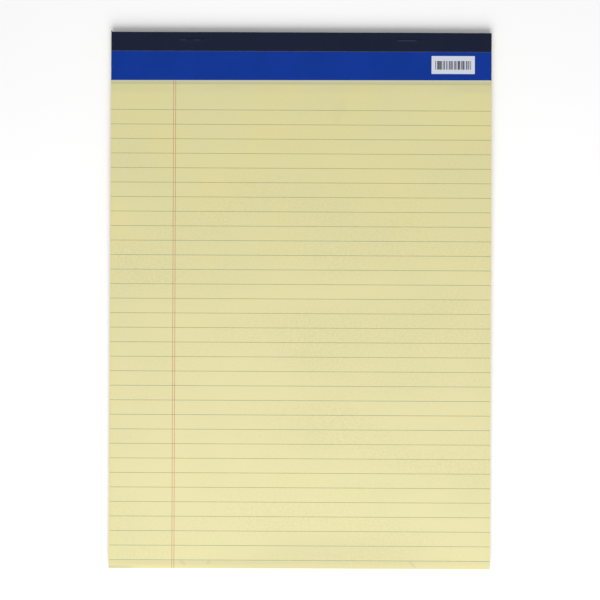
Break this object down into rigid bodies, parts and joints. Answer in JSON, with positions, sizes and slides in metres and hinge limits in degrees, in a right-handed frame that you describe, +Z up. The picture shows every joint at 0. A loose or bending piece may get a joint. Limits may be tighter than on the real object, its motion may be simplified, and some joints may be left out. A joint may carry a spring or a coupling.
{
  "type": "legal pad",
  "caption": "Top-bound ruled writing pad: perforated yellow sheets and a blue header strip, stapled to a grey backing board, with tape folded over the bound edge.",
  "frame": {"origin": "on the desk, under the middle of the pad as it lies on its backing board", "axes": "+X across the sheets to the right, +Y up the sheets to the bound edge, +Z up from the desk"},
  "size_m": [0.21, 0.297, 0.0048],
  "materials": {
    "ruled_paper": "uncoated yellow writing paper",
    "grey_board": "plain grey board with fibre flecks",
    "header_paper": "blue printed paper, matt coated",
    "tape_paper": "dark blue binding tape with a fine embossed grain",
    "staple_wire": "bright galvanised wire"
  },
  "bodies": {
    "root": {"sheet_block": "ruled_paper", "backing_board": "grey_board", "header_strip": "header_paper", "binding_tape": "tape_paper", "staples": "staple_wire"}
  },
  "joints": []
}
